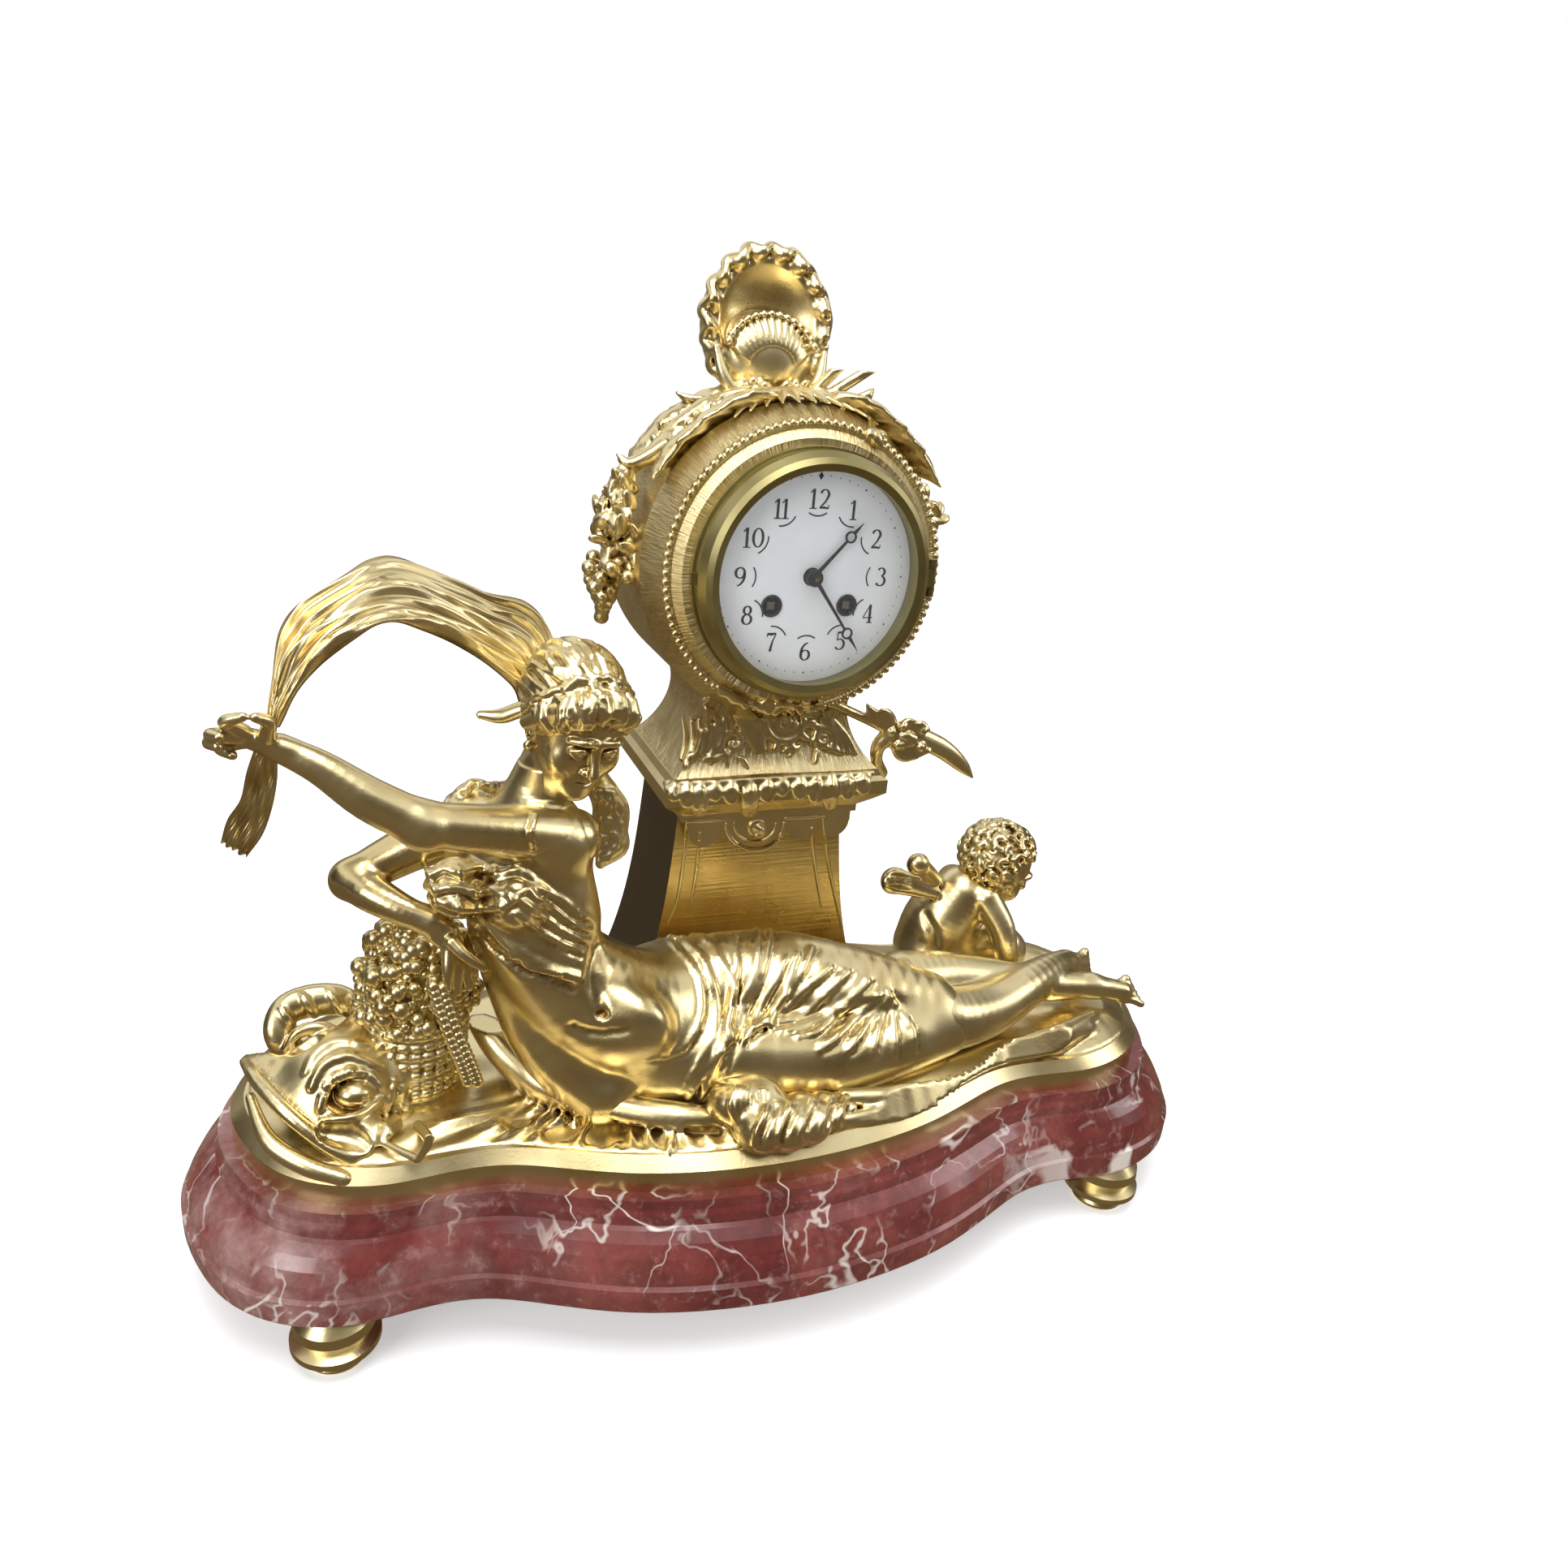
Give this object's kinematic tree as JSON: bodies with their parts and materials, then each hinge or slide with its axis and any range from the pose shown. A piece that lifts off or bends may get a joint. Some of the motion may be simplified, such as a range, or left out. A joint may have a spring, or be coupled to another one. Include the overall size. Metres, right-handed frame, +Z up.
{
  "type": "figural mantel clock",
  "caption": "Mantel clock: gilt-bronze drum movement on a pedestal, with a reclining nymph, scarf, putto, dolphin and shells on a veined marble plinth with bun feet.",
  "frame": {"origin": "bottom centre of the bounding box, on the level the feet stand on", "axes": "+Z up; -Y out of the dial towards the viewer; +X to the viewer's right"},
  "size_m": [0.516, 0.24, 0.4563],
  "materials": {
    "gilt_bronze": "fire-gilt, satin with burnished highlights",
    "marble": "polished, veined",
    "enamel": "glossy white enamel",
    "brass": "lacquered, dull",
    "bell_metal": "turned",
    "steel": "polished",
    "black_hands": "black, satin",
    "glass": "clear"
  },
  "bodies": {
    "case": {"marble_plinth": "marble", "bun_feet": "gilt_bronze", "foot_studs": "steel", "terrace": "gilt_bronze", "terrace_bolts": "steel", "pedestal": "gilt_bronze", "cornice": "gilt_bronze", "cornice_apron": "gilt_bronze", "drum_neck": "gilt_bronze", "drum_case": "gilt_bronze", "shell_crest": "gilt_bronze", "crest_leaves": "gilt_bronze", "fruit_swags": "gilt_bronze", "reed_spray": "gilt_bronze", "nymph_body": "gilt_bronze", "nymph_legs": "gilt_bronze", "nymph_head": "gilt_bronze", "nymph_raised_arm": "gilt_bronze", "nymph_resting_arm": "gilt_bronze", "scarf": "gilt_bronze", "pearl_creel": "gilt_bronze", "dolphin": "gilt_bronze", "front_shell": "gilt_bronze", "putto_body": "gilt_bronze", "putto_head": "gilt_bronze", "dial": "enamel", "dial_plate": "brass", "rear_ring": "brass", "front_plate": "brass", "back_plate": "brass", "plate_pillars": "brass", "movement_straps": "brass", "strap_screws": "steel", "mainsprings": "steel", "clicks": "steel", "suspension_cock": "brass", "bell": "bell_metal", "bell_stand": "brass"},
    "front_door": {"front_bezel": "brass", "dial_glass": "glass"},
    "back_door": {"rear_door": "brass"},
    "minute": {"cannon_pinion": "brass", "minute_hand": "black_hands"},
    "motion_wheel": {"minute_wheel": "brass"},
    "hour": {"hour_wheel": "brass", "hour_hand": "black_hands"},
    "escape": {"escape_wheel": "brass"},
    "third": {"third_wheel": "brass"},
    "centre": {"centre_wheel": "brass"},
    "intermediate": {"intermediate_wheel": "brass"},
    "going_drum": {"going_barrel": "brass"},
    "going_winder": {"going_arbor": "steel"},
    "pendulum_swinger": {"pendulum": "brass"},
    "pallets": {"anchor": "steel"},
    "air_brake": {"fly": "brass"},
    "locking": {"locking_wheel": "brass"},
    "pins": {"pin_wheel": "brass"},
    "strike_drum": {"strike_barrel": "brass"},
    "strike_winder": {"strike_arbor": "steel"},
    "striker": {"hammer": "steel"}
  },
  "joints": [
    {"name": "front_door_hinge", "type": "hinge", "parent": "case", "child": "front_door", "pos_m": [0.0735, -0.0174, 0.325], "axis": [0, 0, 1], "range_deg": [0, 110]},
    {"name": "back_door_hinge", "type": "hinge", "parent": "case", "child": "back_door", "pos_m": [0.0813, 0.074, 0.325], "axis": [0, 0, -1], "range_deg": [0, 105]},
    {"name": "minute_spin", "type": "hinge", "parent": "case", "child": "minute", "pos_m": [0.017, -0.015, 0.325], "axis": [0, 1, 0], "continuous": true},
    {"name": "motion_wheel_spin", "type": "hinge", "parent": "case", "child": "motion_wheel", "pos_m": [0.017, -0.005, 0.33284], "axis": [0, 1, 0], "continuous": true},
    {"name": "hour_spin", "type": "hinge", "parent": "case", "child": "hour", "pos_m": [0.017, -0.012, 0.325], "axis": [0, 1, 0], "continuous": true},
    {"name": "escape_spin", "type": "hinge", "parent": "case", "child": "escape", "pos_m": [0.017, 0.02, 0.3445], "axis": [0, 1, 0], "continuous": true},
    {"name": "third_spin", "type": "hinge", "parent": "case", "child": "third", "pos_m": [0.01296, 0.02, 0.3357], "axis": [0, 1, 0], "continuous": true},
    {"name": "centre_spin", "type": "hinge", "parent": "case", "child": "centre", "pos_m": [0.017, 0.02, 0.325], "axis": [0, 1, 0], "continuous": true},
    {"name": "intermediate_spin", "type": "hinge", "parent": "case", "child": "intermediate", "pos_m": [0.02807, 0.02, 0.33024], "axis": [0, 1, 0], "continuous": true},
    {"name": "going_drum_spin", "type": "hinge", "parent": "case", "child": "going_drum", "pos_m": [0.0346, 0.02, 0.3125], "axis": [0, 1, 0], "continuous": true},
    {"name": "going_winding", "type": "hinge", "parent": "case", "child": "going_winder", "pos_m": [0.0346, 0.02, 0.3125], "axis": [0, 1, 0], "range_deg": [0, 1800]},
    {"name": "pendulum_swing", "type": "hinge", "parent": "case", "child": "pendulum_swinger", "pos_m": [0.017, 0.039, 0.35823], "axis": [0, 1, 0], "range_deg": [-4, 4]},
    {"name": "pallets_rock", "type": "hinge", "parent": "case", "child": "pallets", "pos_m": [0.017, 0.02, 0.35823], "axis": [0, 1, 0], "range_deg": [-4, 4]},
    {"name": "air_brake_spin", "type": "hinge", "parent": "case", "child": "air_brake", "pos_m": [-0.00073, 0.02, 0.34653], "axis": [0, 1, 0], "continuous": true},
    {"name": "locking_spin", "type": "hinge", "parent": "case", "child": "locking", "pos_m": [-0.00549, 0.02, 0.33829], "axis": [0, 1, 0], "continuous": true},
    {"name": "pins_spin", "type": "hinge", "parent": "case", "child": "pins", "pos_m": [-0.01144, 0.02, 0.32798], "axis": [0, 1, 0], "continuous": true},
    {"name": "strike_drum_spin", "type": "hinge", "parent": "case", "child": "strike_drum", "pos_m": [-0.0006, 0.02, 0.3125], "axis": [0, 1, 0], "continuous": true},
    {"name": "strike_winding", "type": "hinge", "parent": "case", "child": "strike_winder", "pos_m": [-0.0006, 0.02, 0.3125], "axis": [0, 1, 0], "range_deg": [0, 1800]},
    {"name": "hammer_lift", "type": "hinge", "parent": "case", "child": "striker", "pos_m": [-0.019, 0.049, 0.339], "axis": [0, 1, 0], "range_deg": [0, 12], "stiffness_Nm_per_rad": 0.01, "springref_deg": -11.46}
  ],
  "couplings": [
    {"joint": "motion_wheel_spin", "follows": "minute_spin", "ratio": -0.33333},
    {"joint": "hour_spin", "follows": "minute_spin", "ratio": 0.083333},
    {"joint": "third_spin", "follows": "escape_spin", "ratio": -0.1},
    {"joint": "centre_spin", "follows": "escape_spin", "ratio": 0.0083333},
    {"joint": "intermediate_spin", "follows": "escape_spin", "ratio": -0.0013889},
    {"joint": "going_drum_spin", "follows": "escape_spin", "ratio": 0.00017361},
    {"joint": "air_brake_spin", "follows": "locking_spin", "ratio": -7.5},
    {"joint": "pins_spin", "follows": "locking_spin", "ratio": -0.13333},
    {"joint": "strike_drum_spin", "follows": "locking_spin", "ratio": 0.016667},
    {"joint": "pallets_rock", "follows": "pendulum_swing", "ratio": 1}
  ]
}
